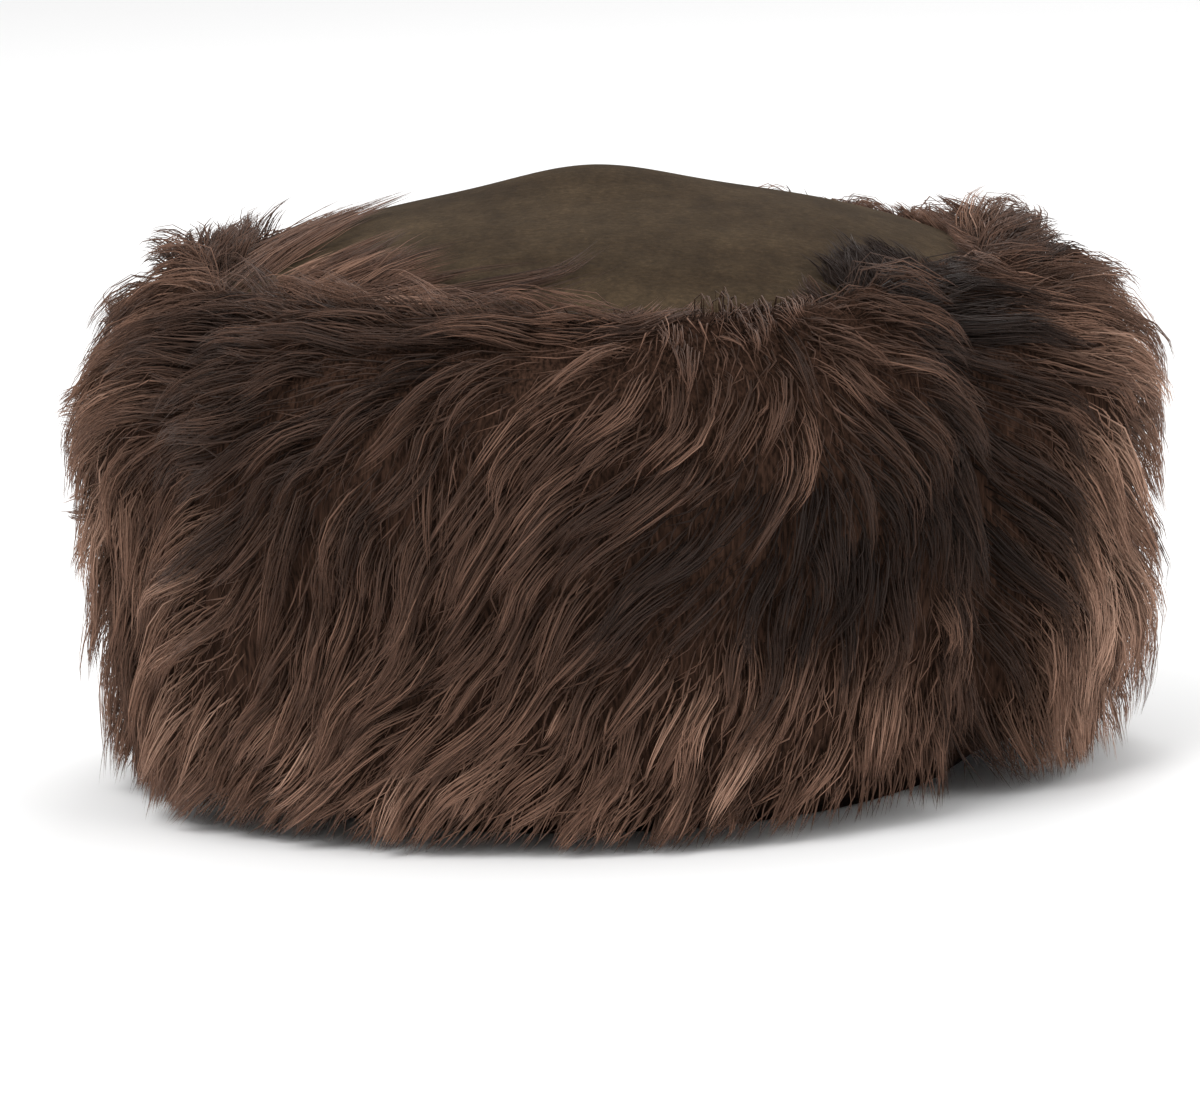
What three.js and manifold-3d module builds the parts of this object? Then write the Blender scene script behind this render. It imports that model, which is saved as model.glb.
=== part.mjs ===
// Sheepskin cossack hat: a suede crown tip inside a deep band of long-wool sheepskin.
//
// Millimetres, +Z up. The origin is the middle of the hat on the surface that it rests on.
// The hat faces -Y. A "turn" is a direction seen from above, in degrees: 0 is the front,
// 90 the right side of a viewer in front, 180 the back and -90 the left side.

import * as THREE from 'three';
import { mergeVertices } from 'three/addons/utils/BufferGeometryUtils.js';
import Module from 'manifold-3d';

const wasm = await Module();
wasm.setup();

// Driving dimensions

const HEAD_HALF_WIDTH = 88;
const HEAD_HALF_LENGTH = 98;

// The crown's edge is this much wider than the head opening, because the wall leans outwards

const WALL_FLARE = 1.11;
const CROWN_EDGE = 135;
const CROWN_RISE = 16.5;
const CROWN_TILT = 1;
const CROWN_THICKNESS = 1.8;
const CROWN_ROUNDING = 2.5;
const CROWN_HUMP = { x: 0, y: 22, radius: 28, rise: 6 };
const SEAM_GAP = 0.3;
const FUR_DEPTH = 45;
const FUR_HEIGHT = 140;
const FUR_BODY_INSET = 8;
const CREST_INSET = 2;
const HEM_INSET = 9;

// The first share of the fur's section, over which it leaves the crown's edge

const RIM_SHARE = 0.09;

const LOCK_WIDTH = 36;
const LOCK_THICKNESS = 17;
const LOCK_LIFT = 6.5;
const LOCK_ROOT_DEPTH = 5;
const LOCK_ROOT_PHASE = 0.3;
const LOCK_TIP = 0.04;
const LOCK_SWAY = 14;
const LOCK_LENGTH_SPREAD = 0.15;
const LOCK_PLACE_SPREAD = 0.03;
const LOCK_TURN_SPREAD = 0.16;

// The share of the fur's depth that rests on the surface below, and the reach of the cutters

const FOOT_SHARE = 0.5;
const SPARE = 4;
const FAR = 400;

// Where the sheepskin panels are sewn together, as turns in degrees

const LEFT_SEAM = -62;
const RIGHT_SEAM = 46;

// How finely the round forms are divided

const BODY_TURNS = 40;
const SECTION_STEPS = 9;
const CROWN_RINGS = 6;
const LOCK_SIDES = 4;
const LOCK_STEPS = 3;
const SECTOR_STEP = 20;
const PLACE_STEP = 0.02;

// The fur round the hat, one row for each direction:
// crest is the height of its top, depth its thickness off the hide at the widest,
// hem the height of its lower edge and over how far it lies inwards over the crown

const FUR_ROUND = [
  { turn: -180, crest: 140, depth: 52, hem: 2, over: 14 },
  { turn: -150, crest: 139, depth: 53, hem: 2, over: 16 },
  { turn: -120, crest: 141, depth: 54, hem: 2, over: 26 },
  { turn: -92, crest: 146, depth: 56, hem: 0, over: 40 },
  { turn: -66, crest: 143, depth: 53, hem: 1, over: 44 },
  { turn: -42, crest: 143, depth: 54, hem: 2, over: 24 },
  { turn: -28, crest: 142, depth: 54, hem: 3, over: 12 },
  { turn: -14, crest: 136, depth: 54, hem: 3, over: 10 },
  { turn: 10, crest: 135, depth: 53, hem: 2, over: 10 },
  { turn: 28, crest: 138, depth: 53, hem: 5, over: 14 },
  { turn: 39, crest: 144, depth: 54, hem: 11, over: 20 },
  { turn: 49, crest: 138, depth: 49, hem: 14, over: 12 },
  { turn: 60, crest: 134, depth: 54, hem: 6, over: 8 },
  { turn: 78, crest: 142, depth: 57, hem: 4, over: 10 },
  { turn: 92, crest: 145, depth: 57, hem: 3, over: 12 },
  { turn: 113, crest: 144, depth: 56, hem: 1, over: 16 },
  { turn: 145, crest: 139, depth: 54, hem: 1, over: 14 },
  { turn: 180, crest: 140, depth: 52, hem: 2, over: 14 },
];

// The fur's section, from the crown's edge over the crest and down to the hem:
// out is a share of the way from the crown's edge to the fur's full depth,
// up a share of the height from hem to crest

const FUR_SECTION = [
  { out: 0.05, up: 0.95 },
  { out: 0.22, up: 1 },
  { out: 0.46, up: 0.96 },
  { out: 0.79, up: 0.84 },
  { out: 1, up: 0.66 },
  { out: 0.98, up: 0.46 },
  { out: 0.86, up: 0.2 },
  { out: 0.7, up: 0 },
];

// How the fur is combed, one row for each direction: degrees from straight down,
// plus towards growing turns, at the crest, the brow, the middle and the hem

const FUR_COMB = [
  { turn: -180, crest: 20, brow: 10, middle: 5, hem: -10 },
  { turn: -140, crest: 40, brow: 25, middle: 10, hem: 10 },
  { turn: -95, crest: -30, brow: -15, middle: 5, hem: 15 },
  { turn: -68, crest: -50, brow: -40, middle: -15, hem: 5 },
  { turn: -50, crest: -75, brow: -60, middle: -40, hem: -45 },
  { turn: -30, crest: -75, brow: -55, middle: -15, hem: -40 },
  { turn: -12, crest: -80, brow: -35, middle: -20, hem: -35 },
  { turn: 0, crest: -20, brow: -30, middle: -35, hem: -30 },
  { turn: 14, crest: 40, brow: 0, middle: -45, hem: -35 },
  { turn: 30, crest: 20, brow: 20, middle: -5, hem: -15 },
  { turn: 47, crest: 60, brow: 45, middle: 20, hem: 0 },
  { turn: 66, crest: 45, brow: 45, middle: 25, hem: -10 },
  { turn: 110, crest: 30, brow: 15, middle: 5, hem: 5 },
  { turn: 145, crest: -30, brow: -15, middle: -10, hem: 0 },
  { turn: 180, crest: 20, brow: 10, middle: 5, hem: -10 },
];
const COMB_PLACES = { crest: 0.12, brow: 0.35, middle: 0.6, hem: 0.92 };

// Rows of locks, from the crest inwards and then down: place along the section, locks in the row,
// length, lift off the body, heading in degrees from straight down and how far the comb turns it.
// The first row lies over the crown, and its length is added to the reach there.

const LOCK_ROWS = [
  { place: 0.07, count: 18, length: 16, lift: 0.4, heading: 180, combed: -0.3, overCrown: true },
  { place: 0.09, count: 17, length: 46, lift: 1.1, heading: 0, combed: 1 },
  { place: 0.25, count: 18, length: 56, lift: 1.1, heading: 0, combed: 1 },
  { place: 0.42, count: 19, length: 58, lift: 1.1, heading: 0, combed: 1 },
  { place: 0.6, count: 19, length: 58, lift: 1.1, heading: 0, combed: 1 },
  { place: 0.79, count: 20, length: 54, lift: 0.9, heading: 0, combed: 1 },
];

const radians = (degrees) => (degrees * Math.PI) / 180;

// A repeatable random number from -1 to 1

const SCATTER_FACTOR = 16807;
const SCATTER_RANGE = 2147483647;
let seed = 23;
function scatter() {
  seed = (seed * SCATTER_FACTOR) % SCATTER_RANGE;
  return (seed / SCATTER_RANGE) * 2 - 1;
}

// The value of one column of a table at a turn, eased from row to row

function atTurn(table, column, turn) {
  const wrapped = THREE.MathUtils.euclideanModulo(turn + 180, 360) - 180;
  const next = Math.max(1, table.findIndex((row) => row.turn >= wrapped));
  const before = table[next - 1];
  const after = table[next];
  const share = (wrapped - before.turn) / (after.turn - before.turn);
  const eased = THREE.MathUtils.smoothstep(share, 0, 1);
  return THREE.MathUtils.lerp(before[column], after[column], eased);
}

// The turns at which round forms have their rings

function turnsRound() {
  return Array.from({ length: BODY_TURNS }, (_, i) => (360 * i) / BODY_TURNS - 180);
}

// The distance from the middle to the hide's inner face, at the head opening and at the crown

function headRadius(turn) {
  const across = Math.sin(radians(turn)) / HEAD_HALF_WIDTH;
  const along = Math.cos(radians(turn)) / HEAD_HALF_LENGTH;
  return 1 / Math.hypot(across, along);
}

function crownRadius(turn) {
  return WALL_FLARE * headRadius(turn);
}

function polar(turn, radius, height) {
  return new THREE.Vector3(radius * Math.sin(radians(turn)), -radius * Math.cos(radians(turn)), height);
}

// The fur body's surface at a turn and a place, 0 at the crown's edge and 1 at the hem

const sectionCurve = new THREE.CatmullRomCurve3(
  FUR_SECTION.map((row) => new THREE.Vector3(row.out * FUR_DEPTH, row.up * FUR_HEIGHT, 0)),
  false,
  'centripetal',
);
const SECTION_LENGTH = sectionCurve.getLength();

function furPoint(turn, place) {
  const edge = crownRadius(turn);
  if (place < 0) {
    const inward = edge + place * SECTION_LENGTH;
    return polar(turn, inward, crownHeight(turn, inward / edge));
  }
  const onSection = sectionCurve.getPointAt(Math.min(place, 1));
  const outline = headRadius(turn) + atTurn(FUR_ROUND, 'depth', turn) - FUR_BODY_INSET;
  const crest = atTurn(FUR_ROUND, 'crest', turn) - CREST_INSET;
  const hem = atTurn(FUR_ROUND, 'hem', turn) + HEM_INSET;
  const radius = THREE.MathUtils.lerp(edge, outline, onSection.x / FUR_DEPTH);
  const onFur = THREE.MathUtils.lerp(hem, crest, onSection.y / FUR_HEIGHT);
  const offRim = THREE.MathUtils.smoothstep(place, 0, RIM_SHARE);
  const height = THREE.MathUtils.lerp(crownHeight(turn, 1), onFur, offRim);
  return polar(turn, radius, height - Math.max(0, place - 1) * SECTION_LENGTH);
}

function furNormal(turn, place) {
  const held = THREE.MathUtils.clamp(place, PLACE_STEP, 1 - PLACE_STEP);
  const alongSection = furPoint(turn, held + PLACE_STEP).sub(furPoint(turn, held - PLACE_STEP));
  const alongTurn = furPoint(turn + 1, held).sub(furPoint(turn - 1, held));
  return alongSection.cross(alongTurn).normalize();
}

// The comb's direction at a turn and place, in degrees from straight down

function combAngle(turn, place) {
  const names = Object.keys(COMB_PLACES);
  const places = Object.values(COMB_PLACES);
  const held = THREE.MathUtils.clamp(place, places[0], places[places.length - 1]);
  const next = Math.max(1, places.findIndex((value) => value >= held));
  const share = (held - places[next - 1]) / (places[next] - places[next - 1]);
  return THREE.MathUtils.lerp(
    atTurn(FUR_COMB, names[next - 1], turn),
    atTurn(FUR_COMB, names[next], turn),
    share,
  );
}

// A closed geometry through rings of points, all with the same count.
// With closeLoop the last ring joins the first; otherwise flat caps close the ends.

function ringGeometry(rings, closeLoop) {
  const count = rings[0].length;
  const positions = rings.flat().flatMap((point) => point.toArray());
  const index = [];
  const bands = closeLoop ? rings.length : rings.length - 1;
  for (let band = 0; band < bands; band += 1) {
    const here = band * count;
    const there = ((band + 1) % rings.length) * count;
    for (let i = 0; i < count; i += 1) {
      const j = (i + 1) % count;
      index.push(here + i, here + j, there + j, here + i, there + j, there + i);
    }
  }
  if (!closeLoop) {
    const last = (rings.length - 1) * count;
    for (let i = 1; i < count - 1; i += 1) {
      index.push(0, i + 1, i);
      index.push(last, last + i, last + i + 1);
    }
  }
  const geometry = new THREE.BufferGeometry();
  geometry.setAttribute('position', new THREE.Float32BufferAttribute(positions, 3));
  geometry.setIndex(index);
  return geometry;
}

function toSolid(geometry) {
  const mesh = new wasm.Mesh({
    numProp: 3,
    vertProperties: new Float32Array(geometry.attributes.position.array),
    triVerts: new Uint32Array(geometry.index.array),
  });
  return new wasm.Manifold(mesh);
}

function toGeometry(solid) {
  const mesh = solid.getMesh();
  const geometry = new THREE.BufferGeometry();
  geometry.setAttribute('position', new THREE.Float32BufferAttribute(mesh.vertProperties, 3));
  geometry.setIndex(new THREE.Uint32BufferAttribute(mesh.triVerts, 1));
  geometry.computeVertexNormals();
  return geometry;
}

// The fur body on its hide: one ring with a section of its own at each turn.
// Its inner face is a little too far in, and the head hollow cuts it to size.

function furBody() {
  const rings = turnsRound().map((turn) => {
    const inner = headRadius(turn) - SPARE;
    const foot = furPoint(turn, 1);
    const outerFoot = THREE.MathUtils.lerp(inner, Math.hypot(foot.x, foot.y), FOOT_SHARE);
    const ring = [polar(turn, inner, 0), polar(turn, crownRadius(turn) - SPARE, CROWN_EDGE)];
    for (let step = 0; step <= SECTION_STEPS; step += 1) {
      ring.push(furPoint(turn, step / SECTION_STEPS));
    }
    ring.push(polar(turn, outerFoot, 0));
    return ring;
  });
  return toSolid(ringGeometry(rings, true));
}

// One lock of fur: a tapered, flattened tube that leaves the body at its root and ends in a point

function furLock(row, rootTurn, rootPlace, length) {
  const rings = [];
  const sway = radians(LOCK_SWAY) * scatter();
  let turn = rootTurn;
  let place = rootPlace;
  for (let step = 0; step <= LOCK_STEPS; step += 1) {
    const along = step / LOCK_STEPS;
    const angle = radians(row.heading + row.combed * combAngle(turn, place)) + sway * (along + 0.5);
    const surface = furPoint(turn, place);
    const normal = furNormal(turn, place);
    const radius = Math.hypot(surface.x, surface.y);
    const height = -LOCK_ROOT_DEPTH + (LOCK_ROOT_DEPTH + LOCK_LIFT * row.lift) * Math.sqrt(along);
    const centre = surface.clone().addScaledVector(normal, height);
    const stepLength = length / LOCK_STEPS;
    const nextTurn = turn + THREE.MathUtils.radToDeg((stepLength * Math.sin(angle)) / radius);
    const nextPlace = place + (stepLength * Math.cos(angle)) / SECTION_LENGTH;
    const forward = furPoint(nextTurn, nextPlace).sub(surface).normalize();
    const side = new THREE.Vector3().crossVectors(normal, forward).normalize();
    const taper = LOCK_TIP + Math.sin(Math.PI * THREE.MathUtils.lerp(LOCK_ROOT_PHASE, 1, along));
    const ring = [];
    for (let corner = 0; corner < LOCK_SIDES; corner += 1) {
      const swing = (2 * Math.PI * corner) / LOCK_SIDES;
      const point = centre.clone();
      point.addScaledVector(side, (taper * LOCK_WIDTH * Math.cos(swing)) / 2);
      point.addScaledVector(normal, (taper * LOCK_THICKNESS * Math.sin(swing)) / 2);
      ring.push(point);
    }
    rings.push(ring);
    turn = nextTurn;
    place = nextPlace;
  }
  return toSolid(ringGeometry(rings, false));
}

function allLocks() {
  const locks = [];
  LOCK_ROWS.forEach((row, rowNumber) => {
    for (let i = 0; i < row.count; i += 1) {
      const stagger = 0.5 * (rowNumber % 2) + LOCK_TURN_SPREAD * scatter();
      const turn = (360 * (i + stagger)) / row.count - 180;
      const place = row.place + LOCK_PLACE_SPREAD * scatter();
      const length = row.length + (row.overCrown ? atTurn(FUR_ROUND, 'over', turn) : 0);
      locks.push(furLock(row, turn, place, length * (1 + LOCK_LENGTH_SPREAD * scatter())));
    }
  });
  return locks;
}

// The suede crown tip: a soft, slightly uneven dome with its edge at the hide's upper edge

function crownHeight(turn, share) {
  const spot = polar(turn, share * crownRadius(turn), 0);
  const away = Math.hypot(spot.x - CROWN_HUMP.x, spot.y - CROWN_HUMP.y) / CROWN_HUMP.radius;
  const dome = CROWN_RISE * (1 - Math.pow(share, CROWN_ROUNDING));
  const tilt = (CROWN_TILT * spot.y) / HEAD_HALF_LENGTH;
  return CROWN_EDGE + dome + tilt + CROWN_HUMP.rise * Math.exp(-away * away);
}

// One ring of the crown: share is 0 at its middle and 1 at its edge

function crownRing(share, rise, gap) {
  return turnsRound().map((turn) => {
    const radius = share * (crownRadius(turn) - gap);
    return polar(turn, radius, crownHeight(turn, share) + rise);
  });
}

function crownTip() {
  const shares = Array.from({ length: CROWN_RINGS }, (_, i) => (i + 1) / CROWN_RINGS);
  const inside = shares.map((share) => crownRing(share, -CROWN_THICKNESS, SEAM_GAP));
  const outside = shares.map((share) => crownRing(share, 0, SEAM_GAP)).reverse();
  return toSolid(ringGeometry([...inside, ...outside], false));
}

// Cutters: the head hollow with the crown's room over it, what lies under the hat,
// and the sector of one panel from seam to seam

function headHollow() {
  const foot = turnsRound().map((turn) => polar(turn, headRadius(turn), -SPARE));
  const collar = crownRing(1, -CROWN_THICKNESS - SEAM_GAP, 0);
  const shares = Array.from({ length: CROWN_RINGS }, (_, i) => (CROWN_RINGS - i) / CROWN_RINGS);
  const dome = shares.map((share) => crownRing(share, SEAM_GAP, 0));
  return toSolid(ringGeometry([foot, collar, ...dome], false));
}

function underHat() {
  const block = new THREE.BoxGeometry(2 * FAR, 2 * FAR, FAR);
  block.deleteAttribute('normal');
  block.deleteAttribute('uv');
  block.translate(0, 0, -FAR / 2);
  return toSolid(mergeVertices(block));
}

// The main body of a cut solid, without the lock ends that a seam has cut off

function mainBody(solid) {
  return solid.decompose().sort((one, other) => other.volume() - one.volume())[0];
}

function sector(fromTurn, toTurn) {
  const middle = (fromTurn + toTurn) / 2;
  const half = radians((toTurn - fromTurn) / 2);
  const apex = SEAM_GAP / 2 / Math.sin(half);
  const steps = Math.ceil((toTurn - fromTurn) / SECTOR_STEP);
  const outline = (height) => {
    const points = [polar(middle, apex, height)];
    for (let step = 0; step <= steps; step += 1) {
      const turn = fromTurn + ((toTurn - fromTurn) * step) / steps;
      points.push(polar(turn, FAR, height).add(polar(middle, apex, 0)));
    }
    return points;
  };
  return toSolid(ringGeometry([outline(-FAR), outline(FAR)], false));
}

// The pieces

const suede = new THREE.MeshStandardMaterial({ color: 0x4f4237, roughness: 0.95, metalness: 0 });
const fur = new THREE.MeshStandardMaterial({ color: 0x3a2c25, roughness: 0.85, metalness: 0 });

const allFur = allLocks()
  .reduce((grown, lock) => grown.add(lock), furBody())
  .subtract(headHollow())
  .subtract(underHat());

const pieces = [
  { name: 'crown_tip', solid: crownTip(), material: suede },
  {
    name: 'front_fur_panel',
    solid: mainBody(allFur.intersect(sector(LEFT_SEAM, RIGHT_SEAM))),
    material: fur.clone(),
  },
  {
    name: 'back_fur_panel',
    solid: mainBody(allFur.intersect(sector(RIGHT_SEAM, LEFT_SEAM + 360))),
    material: fur.clone(),
  },
];

const hat = new THREE.Group();
pieces.forEach(({ name, solid, material }) => {
  const mesh = new THREE.Mesh(toGeometry(solid), material);
  mesh.name = name;
  hat.add(mesh);
});

export default hat;
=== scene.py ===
"""Sheepskin cossack hat: a suede crown tip inside a deep band of long dark wool.

Sizes are in millimetres until a mesh is made, and in metres from there on. A turn is a
direction seen from above in degrees: 0 is the front, 90 the right side of a viewer in
front, 180 the back. A place runs along the fur's section, 0 at the crown's edge, 1 at the hem.
"""

import math

import bpy
import numpy as np
from mathutils import Matrix, Vector


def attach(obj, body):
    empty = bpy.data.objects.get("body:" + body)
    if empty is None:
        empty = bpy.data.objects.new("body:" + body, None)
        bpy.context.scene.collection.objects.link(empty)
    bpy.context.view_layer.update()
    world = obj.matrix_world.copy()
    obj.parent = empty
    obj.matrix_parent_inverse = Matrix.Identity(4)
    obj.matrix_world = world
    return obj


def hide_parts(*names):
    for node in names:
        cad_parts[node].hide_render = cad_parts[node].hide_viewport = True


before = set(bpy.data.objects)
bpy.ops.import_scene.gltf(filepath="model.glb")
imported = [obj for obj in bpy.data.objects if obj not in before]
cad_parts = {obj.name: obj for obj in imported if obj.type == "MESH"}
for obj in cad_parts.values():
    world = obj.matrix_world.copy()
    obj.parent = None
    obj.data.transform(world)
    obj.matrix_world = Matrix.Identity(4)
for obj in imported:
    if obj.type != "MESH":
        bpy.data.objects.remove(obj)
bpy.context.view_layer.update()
rng = np.random.default_rng(7)

# Driving dimensions, as in the frame's solids

MM = 0.001
HEAD_HALF_WIDTH = 88
HEAD_HALF_LENGTH = 98
WALL_FLARE = 1.11
CROWN_EDGE = 135
CROWN_RISE = 16.5
CROWN_TILT = 1
CROWN_THICKNESS = 1.8
CROWN_ROUNDING = 2.5
CROWN_HUMP = dict(x=0, y=22, radius=28, rise=6)
HIDE_THICKNESS = 2.2
LEFT_SEAM = -62
RIGHT_SEAM = 46
FUR_DEPTH = 45
FUR_HEIGHT = 140
HEM_INSET = 9
RIM_SHARE = 0.09

# The fur round the hat: the height of its crest, its depth off the hide, its hem's height
# and how far it lies inwards over the crown

FUR_ROUND = [
    dict(turn=-180, crest=140, depth=52, hem=2, over=14),
    dict(turn=-150, crest=139, depth=53, hem=2, over=16),
    dict(turn=-120, crest=141, depth=54, hem=2, over=26),
    dict(turn=-92, crest=146, depth=56, hem=0, over=40),
    dict(turn=-66, crest=143, depth=53, hem=1, over=44),
    dict(turn=-42, crest=143, depth=54, hem=2, over=24),
    dict(turn=-28, crest=142, depth=54, hem=3, over=12),
    dict(turn=-14, crest=136, depth=54, hem=3, over=10),
    dict(turn=10, crest=135, depth=53, hem=2, over=10),
    dict(turn=28, crest=138, depth=53, hem=5, over=14),
    dict(turn=39, crest=144, depth=54, hem=11, over=20),
    dict(turn=49, crest=138, depth=49, hem=14, over=12),
    dict(turn=60, crest=134, depth=54, hem=6, over=8),
    dict(turn=78, crest=142, depth=57, hem=4, over=10),
    dict(turn=92, crest=145, depth=57, hem=3, over=12),
    dict(turn=113, crest=144, depth=56, hem=1, over=16),
    dict(turn=145, crest=139, depth=54, hem=1, over=14),
    dict(turn=180, crest=140, depth=52, hem=2, over=14),
]

# The fur's section: out as a share of the way from the crown's edge to the full depth,
# up as a share of the height from hem to crest

FUR_SECTION = [
    dict(out=0.05, up=0.95),
    dict(out=0.22, up=1.0),
    dict(out=0.46, up=0.96),
    dict(out=0.79, up=0.84),
    dict(out=1.0, up=0.66),
    dict(out=0.98, up=0.46),
    dict(out=0.86, up=0.2),
    dict(out=0.7, up=0.0),
]

# How the fur is combed: degrees from straight down, plus towards growing turns

FUR_COMB = [
    dict(turn=-180, crest=20, brow=10, middle=5, hem=-10),
    dict(turn=-140, crest=40, brow=25, middle=10, hem=10),
    dict(turn=-95, crest=-30, brow=-15, middle=5, hem=15),
    dict(turn=-68, crest=-50, brow=-40, middle=-15, hem=5),
    dict(turn=-50, crest=-75, brow=-60, middle=-40, hem=-45),
    dict(turn=-30, crest=-75, brow=-55, middle=-15, hem=-40),
    dict(turn=-12, crest=-80, brow=-35, middle=-20, hem=-35),
    dict(turn=0, crest=-50, brow=-32, middle=-35, hem=-30),
    dict(turn=14, crest=-5, brow=-12, middle=-45, hem=-35),
    dict(turn=30, crest=20, brow=20, middle=-5, hem=-15),
    dict(turn=47, crest=60, brow=45, middle=20, hem=0),
    dict(turn=66, crest=45, brow=45, middle=25, hem=-10),
    dict(turn=110, crest=30, brow=15, middle=5, hem=5),
    dict(turn=145, crest=-30, brow=-15, middle=-10, hem=0),
    dict(turn=180, crest=20, brow=10, middle=5, hem=-10),
]
COMB_PLACES = dict(crest=0.12, brow=0.35, middle=0.6, hem=0.92)

# Where the wool is lighter or darker than the rest, partly its own tone and partly painted light and
# shade: centre, reach and change of tone

BASE_TONE = 0.575
TONE_AND_SHADE_PATCHES = [
    dict(turn=-58, place=0.5, reach_turn=22, reach_place=0.35, tone=0.15),
    dict(turn=27, place=0.48, reach_turn=18, reach_place=0.2, tone=-0.75),
    dict(turn=66, place=0.53, reach_turn=17, reach_place=0.35, tone=0.25),
    dict(turn=-80, place=-0.02, reach_turn=30, reach_place=0.12, tone=0.04),
    dict(turn=-47, place=0.04, reach_turn=6, reach_place=0.08, tone=-0.22),
    dict(turn=-10, place=0.3, reach_turn=20, reach_place=0.12, tone=0.05),
    dict(turn=42, place=0.06, reach_turn=12, reach_place=0.12, tone=-0.42),
    dict(turn=-18, place=0.74, reach_turn=34, reach_place=0.18, tone=0.13),
    dict(turn=9, place=0.54, reach_turn=10, reach_place=0.12, tone=-0.22),
    dict(turn=46, place=0.16, reach_turn=9, reach_place=0.2, tone=-0.22),
    dict(turn=-36, place=0.4, reach_turn=15, reach_place=0.13, tone=-0.4),
    dict(turn=-17, place=0.17, reach_turn=8, reach_place=0.1, tone=-0.22),
    dict(turn=-35, place=0.22, reach_turn=17, reach_place=0.13, tone=-0.32),
    dict(turn=-88, place=0.45, reach_turn=12, reach_place=0.3, tone=0.14),
    dict(turn=-54, place=0.84, reach_turn=18, reach_place=0.2, tone=0.2),
    dict(turn=40, place=0.78, reach_turn=28, reach_place=0.16, tone=0.2),
]

# Where the pelt stands out more or less than the rest: centre, reach and millimetres. The
# strands there stand further off the pelt too, by a share of the same lift

LIFT_PATCHES = [
    dict(turn=84, place=0.33, reach_turn=20, reach_place=0.17, lift=10),
    dict(turn=101, place=0.1, reach_turn=9, reach_place=0.1, lift=4),
    dict(turn=62, place=0.06, reach_turn=10, reach_place=0.14, lift=-17),
    dict(turn=88, place=0.82, reach_turn=26, reach_place=0.22, lift=12),
    dict(turn=68, place=0.9, reach_turn=14, reach_place=0.2, lift=4),
    dict(turn=-62, place=0.94, reach_turn=20, reach_place=0.18, lift=8),
    dict(turn=-90, place=0.46, reach_turn=26, reach_place=0.14, lift=2),
    dict(turn=132, place=0.08, reach_turn=17, reach_place=0.17, lift=-13),
    dict(turn=-140, place=0.08, reach_turn=22, reach_place=0.17, lift=-15),
]
LIFT_OF_STRANDS = 0.35

# The height of the lowest tips round the hat, and how far others end above them

HEM_TIPS = [
    dict(turn=-180, low=2),
    dict(turn=-60, low=2),
    dict(turn=-35, low=5),
    dict(turn=-24, low=0.8),
    dict(turn=-15, low=8),
    dict(turn=-6, low=3.5),
    dict(turn=6, low=1),
    dict(turn=20, low=3),
    dict(turn=28, low=10),
    dict(turn=34, low=15),
    dict(turn=41, low=2.5),
    dict(turn=47, low=15),
    dict(turn=53, low=7),
    dict(turn=66, low=3),
    dict(turn=80, low=5),
    dict(turn=110, low=2),
    dict(turn=180, low=2),
]
TIP_SPREAD = 6

# Locks: how many round the hat and in how many rows, how far a root strays from its place as a
# share of the way to the next, and the twists of strands in each

LOCKS_ROUND = 76
LOCK_ROWS = 14
RIM_LOCKS_ROUND = 72
RIM_LOCK_ROWS = 2
ROOT_JITTER = 0.45
TWISTS_PER_LOCK = 4
STRANDS_PER_TWIST = 7
STRANDS_PER_LOCK = TWISTS_PER_LOCK * STRANDS_PER_TWIST

# The three kinds of lock: places along the section, lengths and lifts in millimetres or as
# shares of what a table says, headings in degrees, and depth, which is how thick a lock is

BODY_LOCKS = dict(first=0.04, span=0.93, length=39, length_spread=6, lift=(6, 10.5), depth=(2, 3.5))
RIM_LOCKS = dict(first=0.03, row=0.05, reach=(0.7, 1.15), lift=(0.7, 1.3), depth=(0.8, 1.8))
STANDING_LOCKS = dict(reach=(0.75, 1.2), lift=(0.5, 1.25), heading_spread=16, depth=(2, 4))
LOWEST_LIFT = 2

# What differs from lock to lock: its sway along its length and its wave, in degrees, its half width, and
# its tone at random and with its lift, a painted light on locks that stand further out and painted shade
# on those that lie lower

LOCK_SWAY = 9
LOCK_WAVE = (3, 12)
LOCK_SPREAD = (4.5, 7.0)
LOCK_TONE_SPREAD = 0.065
PAINTED_LIGHT_PER_LIFT = 0.01
MIDDLE_LIFT = 10

# The guide that a lock follows: its steps, its end as a share of the lock's length, how steeply
# it rises from its root, its waves, and the least radius that a step round the hat is taken at

GUIDE_STEPS = 28
GUIDE_REACH = 1.15
GUIDE_RISE = 2.3
GUIDE_WAVES = (0.6, 1.2)
GUIDE_RADIUS = 20

# Strands: their width from root to tip, their section's foot and ridge as shares of the half
# width, their lowest height, the depth of their roots and how far along a lock these lie

STRAND_SHAPE = np.array([0.85, 1.0, 0.85, 0.55])
STRAND_RINGS = len(STRAND_SHAPE)
STRAND_HALF_WIDTH = 0.155
STRAND_FOOT = 0.4
STRAND_RIDGE = 0.7
STRAND_LOWEST = 0.7
ROOT_DEPTH = 2
ROOT_SCATTER = 0.45

# How far twists and strands reach, as shares of the lock, and of the part of it above the hem's
# tips, and how far twists gather and flatten towards the lock's tip

TWIST_REACH = (0.76, 1.1)
STRAND_REACH = (0.86, 1.04)
CUT_REACH = (0.82, 1.0)
TIP_GATHER = 0.55
TIP_FLATTEN = 0.4

# A twist's own bend and its waves, how far strands stray from their twist at its root, how much
# less at its tip, the share of them that are loose and how much further these stray

TWIST_BEND = (0.2, 1.3)
TWIST_WAVES = (0.3, 1.0)
STRAY = 2.4
STRAY_LESS = 1.7
STRAY_RANGE = (0.3, 1.0)
STRAY_UPWARDS = 0.8
LOOSE_SHARE = 0.14
LOOSE_STRAY = 2.6

# How widths and tones differ among strands, and how much lighter the upper twists are: a painted light on
# each lock's outer side and painted shade on its inner side

WIDTH_SPREAD = 0.33
TWIST_TONE_SPREAD = 0.035
STRAND_TONE_SPREAD = 0.075
UPPER_TWIST_PAINTED_LIGHT = 0.05

# The map that the colours are drawn on: columns of tone, and the free edge along a column

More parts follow.
